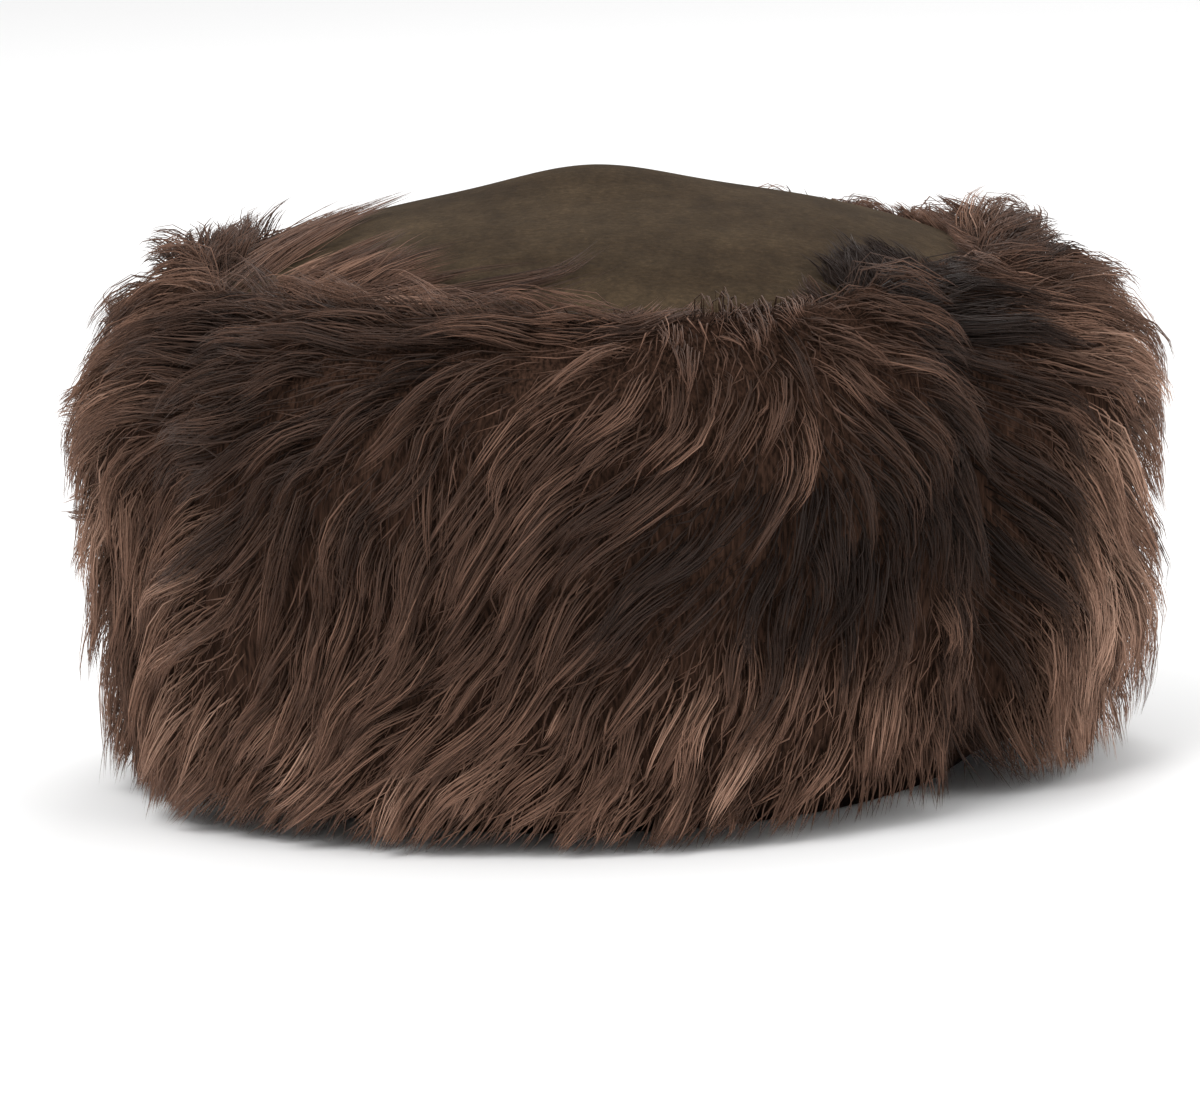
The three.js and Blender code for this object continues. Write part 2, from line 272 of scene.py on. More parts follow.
TONES = 40
MAP_MARGIN = 0.02

# The short wool between the locks, the share of it that grows at the hem and the places there,
# and how far above the floor it ends, as a share of the height of the locks' tips

UNDERWOOL_STRANDS = 12000
UNDERWOOL_AT_HEM = 0.16
UNDERWOOL_HEM = (0.9, 1.02)
UNDERWOOL_RAISED = 0.2
UNDERWOOL_LENGTH = (15, 24)
UNDERWOOL_LIFT = (2.0, 4.5)
UNDERWOOL_SWAY = 26
# A painted shade: the short wool between the locks is a little darker than they are
UNDERWOOL_PAINTED_SHADE = -0.05
UNDERWOOL_TONE_SPREAD = 0.09
UNDERWOOL_SHAPE = np.array([1.0, 0.8])
UNDERWOOL_HALF_WIDTH = 0.27
UNDERWOOL_WIDTH_SPREAD = 0.3

# The pelt: how far it lies inside the fur's outline, the share of the tufts' lift that it takes
# and its strands don't, its rows from crest to hem and its step round the hat in degrees, and
# its lowest height and its heights on the hide

PELT_INSET = 12.5
PELT_TUFTS = 0.6
PELT_ROWS = 36
PELT_STEP = 2.4
PELT_LOWEST = 1
PELT_WALL_HEIGHTS = (30, 60, 90, 125)

# The pelt's underside, as shares of the way from the hide out to its hem and up to it

PELT_UNDERSIDE = [
    dict(out=0.6, up=0.8),
    dict(out=0.25, up=0.4),
    dict(out=0.05, up=0.0),
]

# The hide's wall, whose outer face lies just inside the pelt and whose top edge lies just under
# the crown, and the gap that each panel leaves at its ends

HIDE_HEIGHTS = (0.6, 20, 50, 80, 105)
HIDE_STEP = 3.0
HIDE_UNDER_PELT = 0.3
HIDE_UNDER_CROWN = 0.5
PANEL_GAP = 0.1

# The crown's points, and how far its edge lies inside the hide's wall

CROWN_RINGS = 36
CROWN_TURNS = 112
CROWN_GAP = 0.6

# How the locks lie over the crown: how much further they reach than the frame's solid locks,
# their slant from straight inwards in degrees, plus towards growing turns, and their lift

RIM_LIE = [
    dict(turn=-180, more=-6, slant=10, lift=3),
    dict(turn=-140, more=-10, slant=-10, lift=0),
    dict(turn=-105, more=-4, slant=-35, lift=0.5),
    dict(turn=-74, more=2, slant=-45, lift=3),
    dict(turn=-58, more=2, slant=-5, lift=4),
    dict(turn=-46, more=9, slant=60, lift=4),
    dict(turn=-28, more=-3, slant=82, lift=2.5),
    dict(turn=-12, more=-4, slant=88, lift=2),
    dict(turn=6, more=-9, slant=40, lift=1.2),
    dict(turn=24, more=-12, slant=20, lift=1.2),
    dict(turn=36, more=-10, slant=10, lift=2.5),
    dict(turn=46, more=2, slant=5, lift=6),
    dict(turn=54, more=-2, slant=10, lift=4),
    dict(turn=64, more=-7, slant=20, lift=2),
    dict(turn=100, more=-7, slant=15, lift=3),
    dict(turn=140, more=-8, slant=-10, lift=2),
    dict(turn=180, more=-6, slant=10, lift=3),
]

# Extra tufts that stand out from the fur: middle and half width in degrees, place and half
# reach along, how many locks, their length, heading from straight down, lift, change of tone

STANDING_TUFTS = [
    dict(turn=47, half=8, place=0.02, along=0.03, count=40, length=19, heading=170, lift=4.5, tone=-0.36),
    dict(turn=-51, half=13, place=0.01, along=0.01, count=30, length=37, heading=128, lift=3.5, tone=0.16),
    dict(turn=-98, half=14, place=0.04, along=0.04, count=30, length=19, heading=-110, lift=8, tone=-0.06),
    dict(turn=105, half=11, place=0.12, along=0.05, count=18, length=21, heading=70, lift=7.5, tone=-0.06),
    dict(turn=-93, half=13, place=0.42, along=0.18, count=20, length=20, heading=-45, lift=9, tone=0.0),
    dict(turn=90, half=13, place=0.36, along=0.2, count=18, length=20, heading=35, lift=9.5, tone=0.0),
]

# Partings in the wool: their turn at the crest and at the hem, their half width in degrees, how far the
# wool sinks and how much darker it is painted there as the shade in the parting, and how far it turns away
# on each side

PARTINGS = [
    dict(crest=-54, hem=-71, reach=6, lift=-7, tone=-0.17, away=16),
    dict(crest=52, hem=50, reach=7, lift=-10, tone=-0.44, away=34),
]

# Tufts of wool in two sizes: how many round and along, and the change of tone, lift in
# millimetres and direction in degrees

TUFTS = [
    dict(round=20, along=5, tone=0.13, lift=3.6, swing=20),
    dict(round=46, along=11, tone=0.1, lift=2.0, swing=18),
]

# The two panels of sheepskin, and the pieces that their long wool is shared out among by the
# turns of its roots and by whether these lie above or below one place

PANELS = [
    dict(name="front", node="front_fur_panel", start=LEFT_SEAM, end=RIGHT_SEAM),
    dict(name="back", node="back_fur_panel", start=RIGHT_SEAM, end=LEFT_SEAM + 360),
]
WOOL_PIECES = [
    dict(name="front", node="front_fur_panel", start=LEFT_SEAM, end=RIGHT_SEAM),
    dict(name="right", node="back_fur_panel", start=RIGHT_SEAM, end=120),
    dict(name="right_back", node="back_fur_panel", start=120, end=180),
    dict(name="left_back", node="back_fur_panel", start=180, end=235),
    dict(name="left", node="back_fur_panel", start=235, end=LEFT_SEAM + 360),
]
UPPER_WOOL_END = 0.45


# Tables and the fur's surface


def column(table, name):
    return np.array([row[name] for row in table], float)


def ease(value, low, high):
    share = np.clip((value - low) / (high - low), 0, 1)
    return share * share * (3 - 2 * share)


def wrapped(turn):
    """The same direction as a turn from -180 to 180."""
    return (np.asarray(turn, float) + 180) % 360 - 180


def within(turn, span):
    """True where a turn lies between the span's start and its end."""
    return (turn - span["start"]) % 360 < span["end"] - span["start"]


def at_turn(table, name, turn):
    """One column at these turns, eased from row to row."""
    turn = wrapped(turn)
    turns, values = column(table, "turn"), column(table, name)
    after = np.clip(np.searchsorted(turns, turn), 1, len(turns) - 1)
    share = (turn - turns[after - 1]) / (turns[after] - turns[after - 1])
    return values[after - 1] + (values[after] - values[after - 1]) * ease(share, 0, 1)


def smooth_line(points, steps=40):
    """A Catmull-Rom line through the points, with its length up to each of its own points."""
    ends = np.vstack([2 * points[0] - points[1], points, 2 * points[-1] - points[-2]])
    t = np.linspace(0, 1, steps, endpoint=False)[:, None]
    parts = []
    for a, b, c, d in zip(ends, ends[1:], ends[2:], ends[3:]):
        bend = (-a + 3 * b - 3 * c + d) * t**3 + (2 * a - 5 * b + 4 * c - d) * t**2
        parts.append((bend + (c - a) * t + 2 * b) / 2)
    line = np.vstack([*parts, points[-1:]])
    length = np.concatenate([[0], np.cumsum(np.linalg.norm(np.diff(line, axis=0), axis=1))])
    return line, length


SECTION_LINE, SECTION_RUN = smooth_line(
    np.stack([column(FUR_SECTION, "out") * FUR_DEPTH, column(FUR_SECTION, "up") * FUR_HEIGHT], 1)
)
SECTION_LENGTH = SECTION_RUN[-1]


def head_radius(turn):
    turn = np.radians(turn)
    return 1 / np.hypot(np.sin(turn) / HEAD_HALF_WIDTH, np.cos(turn) / HEAD_HALF_LENGTH)


def wall_radius(turn, height):
    """The hide's inner face, which leans outwards from the head opening to the crown."""
    return head_radius(turn) * (1 + (WALL_FLARE - 1) * height / CROWN_EDGE)


def polar(turn, radius, height):
    turn = np.radians(turn)
    return np.stack(np.broadcast_arrays(radius * np.sin(turn), -radius * np.cos(turn), height), -1)


def crown_height(x, y):
    """The crown's outer face: a soft dome with one broad hump behind its middle."""
    share = np.hypot(x / HEAD_HALF_WIDTH, y / HEAD_HALF_LENGTH) / WALL_FLARE
    dome = CROWN_RISE * (1 - share**CROWN_ROUNDING)
    off = np.hypot(x - CROWN_HUMP["x"], y - CROWN_HUMP["y"]) / CROWN_HUMP["radius"]
    tilt = CROWN_TILT * y / HEAD_HALF_LENGTH
    return CROWN_EDGE + tilt + dome + CROWN_HUMP["rise"] * np.exp(-(off**2))


def fur_point(turn, place, inset):
    """The fur's surface, this far inside its outline. Places below 0 run in over the crown."""
    turn, place = np.broadcast_arrays(np.asarray(turn, float), np.asarray(place, float))
    run = np.clip(place, 0, 1) * SECTION_LENGTH
    out = np.interp(run, SECTION_RUN, SECTION_LINE[:, 0]) / FUR_DEPTH
    up = np.interp(run, SECTION_RUN, SECTION_LINE[:, 1]) / FUR_HEIGHT
    edge = WALL_FLARE * head_radius(turn)
    rim = polar(turn, edge, 0.0)
    rim = crown_height(rim[..., 0], rim[..., 1])
    outline = head_radius(turn) + at_turn(FUR_ROUND, "depth", turn) - inset
    crest = at_turn(FUR_ROUND, "crest", turn) - 0.5 * inset
    hem = at_turn(FUR_ROUND, "hem", turn) + HEM_INSET
    radius = edge + (outline - edge) * out
    height = hem + up * (np.maximum(crest, rim) - hem)
    height = rim + (height - rim) * ease(place, 0, RIM_SHARE)
    height = height - np.maximum(0, place - 1) * SECTION_LENGTH
    over = polar(turn, np.maximum(edge + np.minimum(place, 0) * SECTION_LENGTH, 0), 0.0)
    over[..., 2] = crown_height(over[..., 0], over[..., 1])
    return np.where((place < 0)[..., None], over, polar(turn, radius, height))


def unit(vectors):
    return vectors / np.maximum(np.linalg.norm(vectors, axis=-1, keepdims=True), 1e-9)


def fur_frame(turn, place, inset):
    """The surface's point, its way down, its way towards growing turns and its normal."""
    step, side_step = 0.015, 0.8
    held = np.where(place < -2 * step, place, np.clip(place, step, 1 - step))
    point = fur_point(turn, place, inset)
    down = unit(fur_point(turn, held + step, inset) - fur_point(turn, held - step, inset))
    after, before = turn + side_step, turn - side_step
    across = unit(fur_point(after, held, inset) - fur_point(before, held, inset))
    normal = unit(np.cross(down, across))
    return point, down, across, normal


def comb_angle(turn, place):
    """The comb's direction in radians from straight down."""
    places = np.array(list(COMB_PLACES.values()))
    angles = np.stack([at_turn(FUR_COMB, name, turn) for name in COMB_PLACES])
    held = np.clip(place, places[0], places[-1] - 1e-6)
    after = np.clip(np.searchsorted(places, held, side="right"), 1, len(places) - 1)
    share = (held - places[after - 1]) / (places[after] - places[after - 1])
    each = np.arange(len(held))
    return np.radians(angles[after - 1, each] * (1 - share) + angles[after, each] * share)


def tuft_grid(row):
    """Random values over the fur for one size of tuft, one layer each for tone, lift and swing."""
    return rng.uniform(-1, 1, (3, row["along"] + 3, row["round"]))


TUFT_GRIDS = [tuft_grid(row) for row in TUFTS]


def patched(patches, name, turn, place):
    """The sum of soft patches at these turns and places."""
    total = np.zeros(np.broadcast(turn, place).shape)
    for patch in patches:
        off = wrapped(turn - patch["turn"]) / patch["reach_turn"]
        near = np.exp(-(off**2) - ((place - patch["place"]) / patch["reach_place"]) ** 2)
        total = total + patch[name] * near
    return total


def tufted(name, turn, place):
    """The tufts' change of one quantity, alike for neighbours and closed round the hat."""
    layer = ("tone", "lift", "swing").index(name)
    total = np.zeros(np.broadcast(turn, place).shape)
    for row, grid in zip(TUFTS, TUFT_GRIDS):
        x = (np.asarray(turn) % 360) / 360 * row["round"]
        y = np.clip((place + 0.1) * row["along"], 0, row["along"] + 1.99)
        i, j = np.floor(x).astype(int), np.floor(y).astype(int)
        u, v = ease(x - i, 0, 1), ease(y - j, 0, 1)
        here, after = i % row["round"], (i + 1) % row["round"]
        top = grid[layer, j, here] * (1 - u) + grid[layer, j, after] * u
        below = grid[layer, j + 1, here] * (1 - u) + grid[layer, j + 1, after] * u
        total = total + row[name] * (top * (1 - v) + below * v)
    return total


def parted(name, turn, place):
    """The partings' change of one quantity."""
    total = np.zeros(np.broadcast(turn, place).shape)
    for row in PARTINGS:
        middle = row["crest"] + (row["hem"] - row["crest"]) * np.clip(place, 0, 1)
        off = wrapped(turn - middle) / row["reach"]
        side = off if name == "away" else 1
        total = total + row[name] * side * np.exp(-(off**2))
    return total


# Meshes


def add_piece(mesh, material, node):
    """Puts a mesh in the scene as a piece that takes the place of a solid of the frame."""
    mesh.materials.append(material)
    piece = bpy.data.objects.new(mesh.name, mesh)
    bpy.context.scene.collection.objects.link(piece)
    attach(piece, "root")
    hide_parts(node)


def mesh_from_arrays(name, points, corners, counts, uv):
    """A smooth mesh with mixed faces and the map that its colours are drawn on."""
    mesh = bpy.data.meshes.new(name)
    mesh.vertices.add(len(points))
    mesh.vertices.foreach_set("co", (points * MM).astype(np.float32).ravel())
    mesh.loops.add(len(corners))
    mesh.loops.foreach_set("vertex_index", corners.astype(np.int32))
    mesh.polygons.add(len(counts))
    starts = np.concatenate([[0], np.cumsum(counts)[:-1]]).astype(np.int32)
    mesh.polygons.foreach_set("loop_start", starts)
    mesh.polygons.foreach_set("use_smooth", np.ones(len(counts), bool))
    layer = mesh.uv_layers.new(name="OFBake")
    layer.data.foreach_set("uv", uv.astype(np.float32).ravel())
    mesh.update()
    mesh.validate()
    return mesh


def mesh_from_faces(name, points, faces, smooth):
    """A mesh from its points and the numbers of the points at each face's corners."""
    mesh = bpy.data.meshes.new(name)
    mesh.from_pydata((points * MM).tolist(), [], faces)
    mesh.polygons.foreach_set("use_smooth", np.full(len(mesh.polygons), smooth))
    return mesh


def grid_faces(rows, columns):
    """Quads over a grid of points, closed round its columns."""
    i, j = np.meshgrid(np.arange(rows - 1), np.arange(columns), indexing="ij")
    i, j = i.ravel(), j.ravel()
    k = (j + 1) % columns
    here, below = i * columns, (i + 1) * columns
    return np.stack([here + j, here + k, below + k, below + j], 1)


def mesh_through_loops(name, loops, smooth):
    """A closed body through a row of loops, with a face over each end."""
    rows, columns = loops.shape[:2]
    sides = grid_faces(rows, columns)[:, ::-1].tolist()
    first = list(range(columns))
    last = list(range((rows - 1) * columns, rows * columns))[::-1]
    return mesh_from_faces(name, loops.reshape(-1, 3), [*sides, first, last], smooth)


# Locks and their strands


def inset_at(turn, place):
    """How far the pelt lies inside the fur's outline, with its tufts and partings."""
    relief = patched(LIFT_PATCHES, "lift", turn, place) + parted("lift", turn, place)
    return PELT_INSET - relief - PELT_TUFTS * tufted("lift", turn, place)


def risen(share):
    """The share of its full height that a strand has at this share of its length."""
    return (1 - np.exp(-GUIDE_RISE * share)) / (1 - math.exp(-GUIDE_RISE))


def lock_guides(locks, sway, wave, raised=1.0):
    """Follows the comb over the pelt from each root. Returns each guide's points, normals and
    sides, and how much of it stays above the tips at the hem, whose height is times raised."""
    turn, place, lift = locks["turn"], locks["place"], locks["lift"]
    phase = rng.uniform(0, 2 * math.pi, len(turn))
    waves = rng.uniform(*GUIDE_WAVES, len(turn))
    ragged = rng.uniform(0, 1, len(turn)) ** 2 * TIP_SPREAD
    kept = {"point": [], "normal": [], "side": []}
    above = np.full(len(turn), GUIDE_REACH)
    for step in range(GUIDE_STEPS):
        s = GUIDE_REACH * step / (GUIDE_STEPS - 1)
        angle = locks["heading"] + locks["combed"] * comb_angle(turn, place) + sway * s
        swing = tufted("swing", turn, place) + parted("away", turn, place)
        angle = angle + np.radians(swing)
        angle = angle + wave * np.sin(phase + 2 * math.pi * waves * s)
        point, down, across, normal = fur_frame(turn, place, inset_at(turn, place))
        ahead = down * np.cos(angle)[:, None] + across * np.sin(angle)[:, None]
        height = point[:, 2] + normal[:, 2] * lift * risen(s)
        floor = raised * (at_turn(HEM_TIPS, "low", turn) + ragged)
        above = np.where((height < floor) & (above > s), s, above)
        kept["point"].append(point)
        kept["normal"].append(normal)
        kept["side"].append(unit(np.cross(normal, ahead)))
        stride = locks["length"] * GUIDE_REACH / (GUIDE_STEPS - 1)
        radius = np.maximum(np.hypot(point[:, 0], point[:, 1]), GUIDE_RADIUS)
        turn = turn + np.degrees(stride * np.sin(angle) / radius)
        place = place + stride * np.cos(angle) / SECTION_LENGTH
    guides = {name: np.stack(values, 1) for name, values in kept.items()}
    return guides, above


def strands_along(guides, above, lift, spread, depth, tone):
    """Twists of strands along each guide, rooted apart, that gather towards its tip. Returns
    the strands' points, normals, half widths and tones."""
    locks = len(above)
    twists = locks * TWISTS_PER_LOCK
    total = twists * STRANDS_PER_TWIST
    of_lock = np.repeat(np.arange(locks), STRANDS_PER_LOCK)
    of_twist = np.repeat(np.arange(twists), STRANDS_PER_TWIST)

    def per_lock(values):
        return values[of_lock][:, None]

    def per_twist(values):
        return values[of_twist][:, None]

    reach = rng.uniform(*TWIST_REACH, twists)[of_twist] * rng.uniform(*STRAND_REACH, total)
    reach = np.minimum(reach, above[of_lock] * rng.uniform(*CUT_REACH, total))
    root = np.minimum(rng.uniform(0, ROOT_SCATTER, total), 0.5 * reach)[:, None]
    s = root + np.linspace(0, 1, STRAND_RINGS + 1)[None] * (reach[:, None] - root)
    at = np.clip(s / GUIDE_REACH * (GUIDE_STEPS - 1), 0, GUIDE_STEPS - 1.001)
    low = at.astype(int)
    share = (at - low)[..., None]

    def read(name):
        values = guides[name]
        here, there = values[of_lock[:, None], low], values[of_lock[:, None], low + 1]
        return here * (1 - share) + there * share

    point, side, normal = read("point"), unit(read("side")), unit(read("normal"))
    grown = (s - root) / (1 - root)
    height = (per_lock(lift) + ROOT_DEPTH) * risen(grown) - ROOT_DEPTH
    way = rng.uniform(0, 2 * math.pi, twists)
    away = np.sqrt(rng.uniform(0, 1, twists))
    t = np.clip(s / per_lock(np.minimum(above, 1)), 0, 1)
    gather = 1 - TIP_GATHER * t**1.2
    sideways = per_twist(away * np.cos(way)) * per_lock(spread) * gather
    upwards = per_twist(away * np.sin(way)) * per_lock(depth) * (1 - TIP_FLATTEN * s)
    phase = per_twist(rng.uniform(0, 2 * math.pi, twists))
    waves = per_twist(rng.uniform(*TWIST_WAVES, twists))
    bend = per_twist(rng.uniform(*TWIST_BEND, twists)) * s
    sideways = sideways + bend * np.sin(phase + 2 * math.pi * waves * s)
    own_way = rng.uniform(0, 2 * math.pi, total)[:, None]
    own_away = rng.uniform(*STRAY_RANGE, total)[:, None]
    loose = np.where(rng.uniform(0, 1, total) < LOOSE_SHARE, LOOSE_STRAY, 0.0)[:, None]
    own = own_away * (STRAY - STRAY_LESS * t**1.4 + loose * t)
    sideways = sideways + own * np.cos(own_way)
    upwards = upwards + STRAY_UPWARDS * own * np.sin(own_way)
    upwards = upwards * np.clip(4 * grown, 0, 1) + height
    point = point + side * sideways[..., None] + normal * upwards[..., None]
    width = STRAND_HALF_WIDTH * rng.lognormal(0, WIDTH_SPREAD, total)
    # Painted light on the twists at a lock's outer side, painted shade on those towards the pelt
    tone = tone[of_lock] + UPPER_TWIST_PAINTED_LIGHT * (away * np.sin(way))[of_twist]
    tone = tone + rng.normal(0, TWIST_TONE_SPREAD, twists)[of_twist]
    tone = tone + rng.normal(0, STRAND_TONE_SPREAD, total)
    return point, normal, width, tone


def strand_faces(rings):
    """The corners and corner counts of one strand's faces, with each corner's place across a
    column of the map and along it in rings."""
    tip, edge_places = rings * 3, (-0.4, 0.4, 0.0)
    corners, counts, across, along = [], [], [], []
    for ring in range(rings):
        first = ring * 3
        for i, j in ((0, 1), (1, 2), (2, 0)):
            near, far = edge_places[i], edge_places[j]
            if ring < rings - 1:
                corners += [first + i, first + 3 + i, first + 3 + j, first + j]
                across += [near, near, far, far]
                along += [ring, ring + 1, ring + 1, ring]
                counts.append(4)
            else:
                corners += [first + i, tip, first + j]
                across += [near, (near + far) / 2, far]
                along += [ring, ring + 1, ring]
                counts.append(3)
    corners += [0, 1, 2]
    across += edge_places
    along += [0.0, 0.0, 0.4]
    counts.append(3)
    return corners, counts, across, along


def strand_piece(name, node, shape, point, normal, width, tone):
    """Closed three-sided strands, each with its tone as a column of the colour map."""
    total, rings = len(point), len(shape)
    point = point.copy()
    point[..., 2] = np.maximum(point[..., 2], STRAND_LOWEST)
    ahead = unit(np.gradient(point, axis=1))
    side = unit(np.cross(ahead, normal))
    up = unit(np.cross(side, ahead))
    half = (width[:, None] * shape[None])[..., None]
    middle, side, up = point[:, :rings], side[:, :rings], up[:, :rings]
    left = middle - side * half - up * half * STRAND_FOOT
    right = middle + side * half - up * half * STRAND_FOOT
    ridge = middle + up * half * STRAND_RIDGE
    body = np.stack([left, right, ridge], 2).reshape(total, rings * 3, 3)
    points = np.concatenate([body, point[:, -1:]], 1)
    corners, counts, across, along = (np.array(values) for values in strand_faces(rings))
    corners = (np.arange(total)[:, None] * points.shape[1] + corners).ravel()
    tone_column = np.clip((tone * TONES).astype(int), 0, TONES - 1)[:, None]
    u = (tone_column + 0.5 + across) / TONES
    v = np.broadcast_to(MAP_MARGIN + (1 - 2 * MAP_MARGIN) * along / rings, u.shape)
    uv = np.stack([u, v], -1)
    mesh = mesh_from_arrays(name, points.reshape(-1, 3), corners, np.tile(counts, total), uv)
    add_piece(mesh, wool, node)


# Materials

# A Mix node's colour sockets go by number, because its sockets of other kinds share their names

MIX_FIRST, MIX_SECOND, MIX_RESULT = 6, 7, 2

# The wool's colours by their place across the map, from the darkest tone to the lightest, and what they
# are multiplied by along a strand: a painted shade towards its root and a painted light at its tip

WOOL_TONES = {
    0.0: (0.013, 0.0068, 0.0046),
    0.3: (0.042, 0.022, 0.0145),
    0.55: (0.1, 0.053, 0.035),
    0.8: (0.205, 0.114, 0.077),
    1.0: (0.37, 0.228, 0.163),
}
ROOT_SHADE_TO_TIP_LIGHT = {
    0.0: (0.55, 0.55, 0.55),
    0.45: (1, 1, 1),
    1.0: (1.25, 1.22, 1.22),
}


def new_material(name, values):
    """A material with these values on its shader. Returns it with its node tree and shader."""
    material = bpy.data.materials.new(name)
    material.use_nodes = True
    shader = material.node_tree.nodes["Principled BSDF"]
    for key, value in values.items():
        shader.inputs[key].default_value = value
    return material, material.node_tree, shader


def add_node(tree, kind, values=None, linked=None):
    """A node of this kind, with these values and the outputs of other nodes on its inputs."""
    node = tree.nodes.new("ShaderNode" + kind)
    for key, value in (values or {}).items():
        node.inputs[key].default_value = value
    for key, output in (linked or {}).items():
        tree.links.new(output, node.inputs[key])
    return node


def mapped(tree, place, values):
    return add_node(tree, "Mapping", values, {"Vector": place}).outputs["Vector"]


def noise(tree, place, scale, detail, roughness):
    values = {"Scale": scale, "Detail": detail, "Roughness": roughness}
    return add_node(tree, "TexNoise", values, {"Vector": place}).outputs["Fac"]


def ramped(tree, value, stops):
    """A colour ramp over a value, from the colour at each position in rising order."""
    ramp = add_node(tree, "ValToRGB", linked={"Fac": value})
    elements = ramp.color_ramp.elements
    first, *between, last = stops
    elements[0].position, elements[1].position = first, last
    for position in between:
        elements.new(position)
    for element, color in zip(elements, stops.values()):
        element.color = (*color, 1)
    return ramp.outputs["Color"]


def multiplied(tree, first, second):
    """The product of two colours."""
    mix = add_node(tree, "Mix")
    mix.data_type = "RGBA"
    mix.blend_type = "MULTIPLY"
    mix.inputs["Factor"].default_value = 1
    tree.links.new(first, mix.inputs[MIX_FIRST])
    tree.links.new(second, mix.inputs[MIX_SECOND])
    return mix.outputs[MIX_RESULT]


def bumped(tree, linked, strength, distance):
    """The surface's normal with this relief, from a height and maybe another bump's normal."""
    values = {"Strength": strength, "Distance": distance}
    return add_node(tree, "Bump", values, linked).outputs["Normal"]


def grey(value):
    return value, value, value


def wool_material():
    """Each strand reads its tone across the map, and along it a painted shade towards its root and a
    painted light at its tip.
    """
    material, tree, shader = new_material("wool", {
        "Roughness": 0.52,
        "Specular IOR Level": 0.17,
        "Sheen Weight": 0.04,
        "Sheen Tint": (0.8, 0.55, 0.45, 1),
        "Sheen Roughness": 0.45,
    })
    place = add_node(tree, "UVMap")
    place.uv_map = "OFBake"
    apart = add_node(tree, "SeparateXYZ", linked={"Vector": place.outputs["UV"]})
    tone = ramped(tree, apart.outputs["X"], WOOL_TONES)
    # Painted shade towards the root and painted light at the tip
    shade = ramped(tree, apart.outputs["Y"], ROOT_SHADE_TO_TIP_LIGHT)
    tree.links.new(multiplied(tree, tone, shade), shader.inputs["Base Color"])
    return material


def suede_material(name, dark, light, scale):
    """Brushed suede: clouds where the nap lies another way, mottling, specks and soft creases."""
    material, tree, shader = new_material(name, {
        "Roughness": 0.92,
        "Specular IOR Level": 0.05,
        "Sheen Weight": 0.025,
        "Sheen Roughness": 0.6,
        "Sheen Tint": (0.6, 0.46, 0.34, 1),
    })
    place = add_node(tree, "TexCoord").outputs["Object"]
    brushed = mapped(tree, place, {"Rotation": (0, 0, 0.5), "Scale": (1, 0.35, 1)})
    cloud = noise(tree, place, scale=26 * scale, detail=5, roughness=0.6)
    mottle = noise(tree, brushed, scale=120 * scale, detail=6, roughness=0.7)
    speck = noise(tree, place, scale=620 * scale, detail=4, roughness=0.75)
    color = ramped(tree, cloud, {0.32: dark, 0.68: light})
    patchy = ramped(tree, mottle, {0.3: grey(0.72), 0.7: grey(1.26)})
    specks = ramped(tree, speck, {0.3: grey(0.62), 0.55: grey(1), 0.8: grey(1.6)})
    color = multiplied(tree, multiplied(tree, color, patchy), specks)
    tree.links.new(color, shader.inputs["Base Color"])
    nap = bumped(tree, {"Height": speck}, strength=0.5, distance=0.0006)
    crease = bumped(tree, {"Height": cloud, "Normal": nap}, strength=0.5, distance=0.003)
    tree.links.new(crease, shader.inputs["Normal"])
    return material


def shaded_underfur_material():
    """The dense wool between the locks: dark, a painted shade of the gaps between the locks, with fine
    streaks.
    """
    values = {"Roughness": 0.95, "Specular IOR Level": 0.02}
    material, tree, shader = new_material("shaded_underfur", values)
    place = add_node(tree, "TexCoord").outputs["Object"]
    upright = mapped(tree, place, {"Scale": (1300, 1300, 150)})
    streak = noise(tree, upright, scale=1, detail=4, roughness=0.5)
    # Painted shade: the underfur is darker than the locks above it
    color = ramped(tree, streak, {0.35: (0.013, 0.0073, 0.005), 0.7: (0.055, 0.029, 0.0195)})
    relief = bumped(tree, {"Height": streak}, strength=0.6, distance=0.001)
    tree.links.new(color, shader.inputs["Base Color"])
    tree.links.new(relief, shader.inputs["Normal"])
    return material


wool = wool_material()
shaded_underfur = shaded_underfur_material()
suede = suede_material(
    "crown_suede", dark=(0.0255, 0.016, 0.0083), light=(0.053, 0.0358, 0.02), scale=1.0
)
flesh_side = suede_material(
    "flesh_side", dark=(0.06, 0.043, 0.031), light=(0.1, 0.073, 0.054), scale=1.3
)


# Pieces


def crown():
    """The suede crown tip, a thin closed shell over the head hollow."""
    share = (np.arange(1, CROWN_RINGS + 1) / CROWN_RINGS)[:, None]
    turn = np.arange(CROWN_TURNS)[None] * 360 / CROWN_TURNS
    outer = polar(turn, share * (WALL_FLARE * head_radius(turn) - CROWN_GAP), 0.0)
    outer[..., 2] = crown_height(outer[..., 0], outer[..., 1])
    inner = outer.copy()
    inner[..., 2] -= CROWN_THICKNESS
    top = crown_height(0.0, 0.0)
    middles = [[0, 0, top - CROWN_THICKNESS], [0, 0, top]]
    points = np.vstack([inner.reshape(-1, 3), outer[::-1].reshape(-1, 3), middles])
    ring = np.arange(CROWN_TURNS)
    after = (ring + 1) % CROWN_TURNS
    last = (2 * CROWN_RINGS - 1) * CROWN_TURNS
    low = np.full(CROWN_TURNS, len(points) - 2)
    high = low + 1
    faces = grid_faces(2 * CROWN_RINGS, CROWN_TURNS).tolist()
    faces += np.stack([low, after, ring], 1).tolist()
    faces += np.stack([high, last + ring, last + after], 1).tolist()
    mesh = mesh_from_faces("crown_suede", points, faces, smooth=True)
    add_piece(mesh, suede, "crown_tip")


def panel_turns(panel, step):
    """Turns along a panel from end to end, about this many degrees apart."""
    start, end = panel["start"] + PANEL_GAP, panel["end"] - PANEL_GAP
    return np.linspace(start, end, round((end - start) / step) + 1)[:, None]


